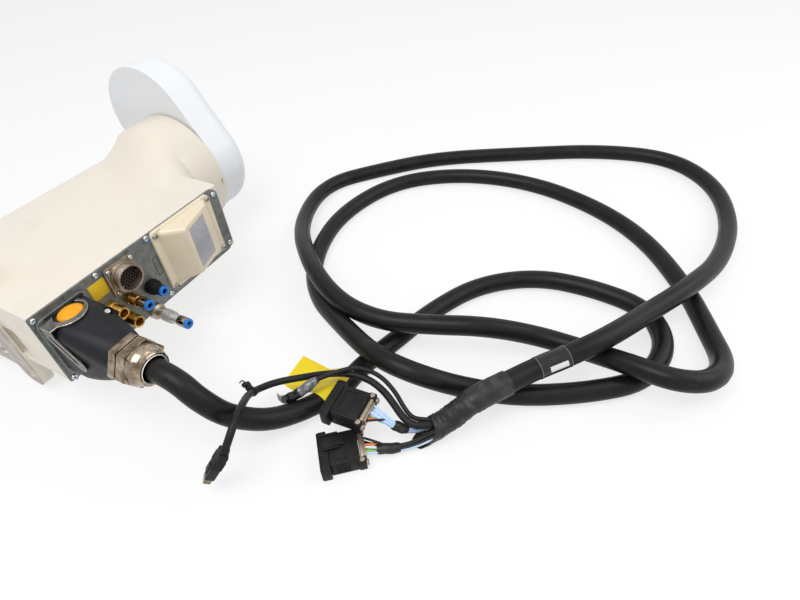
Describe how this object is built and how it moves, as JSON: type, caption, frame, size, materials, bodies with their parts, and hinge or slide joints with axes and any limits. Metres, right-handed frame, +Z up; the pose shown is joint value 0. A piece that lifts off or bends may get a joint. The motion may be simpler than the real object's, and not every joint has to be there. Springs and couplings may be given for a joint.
{
  "type": "industrial robot arm base with swivel head and cable",
  "caption": "Base casting and swivel head of a small robot arm, with connector panel, battery box, air fittings and a plugged-in control cable.",
  "frame": {"origin": "centre of the mounting face, on the swivel axis", "axes": "+Y runs from the mounting face along the swivel axis to the head, +X points out of the connector panel, +Z is up as the base lies on its side"},
  "size_m": [0.8682, 0.8187, 0.2458],
  "materials": {
    "cream_paint": "satin cream paint on a casting",
    "white_paint": "satin white paint on a casting",
    "zinc_plate": "dull zinc plated sheet",
    "zinc_shell": "nickel plated zinc die casting",
    "steel": "bright steel screws",
    "cream_plastic": "moulded cream plastic",
    "charcoal_plastic": "satin charcoal glass-filled plastic",
    "orange_plastic": "orange moulded button",
    "nickel": "nickel plated brass",
    "white_rubber": "pale seal ring",
    "black_rubber": "black seal",
    "black_plastic": "matt black plastic",
    "blue_plastic": "blue release collar",
    "brass": "turned brass",
    "cable_jacket": "satin black cable jacket",
    "shrink_sleeve": "wrinkled black heat-shrink sleeve",
    "lead_jacket": "black lead jacket",
    "wires": "insulated wires, mostly light blue",
    "yellow_label": "plain yellow tag"
  },
  "bodies": {
    "base": {"base_casting": "cream_paint", "swivel_seal": "black_rubber", "connector_panel": "zinc_plate", "panel_screws": "steel", "battery_box_cover": "cream_plastic", "battery_box_screws": "steel", "plug_frame": "zinc_plate", "plug_hood": "charcoal_plastic", "locking_lever": "nickel", "gland_body": "nickel", "gland_nut": "nickel", "gland_seal": "white_rubber", "signal_connector_shell": "zinc_shell", "signal_connector_insert": "black_plastic", "signal_connector_screws": "steel", "air_sockets": "brass", "push_in_stem": "brass", "push_in_body": "nickel", "push_in_collar": "blue_plastic", "black_push_in_body": "black_plastic", "black_push_in_collar": "blue_plastic", "air_tee": "nickel", "exhaust_silencer": "zinc_shell", "silencer_push_in": "nickel", "silencer_collar": "blue_plastic", "main_cable": "cable_jacket", "shrink_tube": "shrink_sleeve", "wire_bundle_1": "wires", "wire_bundle_2": "wires", "thin_lead": "lead_jacket", "spare_lead": "lead_jacket", "spare_lead_tail": "shrink_sleeve", "control_plug_1": "black_plastic", "plug_clamp_1": "nickel", "control_plug_2": "black_plastic", "plug_clamp_2": "nickel", "lead_plug": "black_plastic", "lead_plug_shell": "nickel", "yellow_tag": "yellow_label"},
    "swivel": {"swivel_head": "white_paint"},
    "button": {"release_button": "orange_plastic"}
  },
  "joints": [
    {"name": "swivel_turn", "type": "hinge", "parent": "base", "child": "swivel", "pos_m": [0, 0.336, 0], "axis": [0, 1, 0], "range_deg": [-230, 110]},
    {"name": "button_press", "type": "slide", "parent": "base", "child": "button", "axis": [0, 0, -1], "range_m": [0, 0.003], "stiffness_N_per_m": 800}
  ]
}
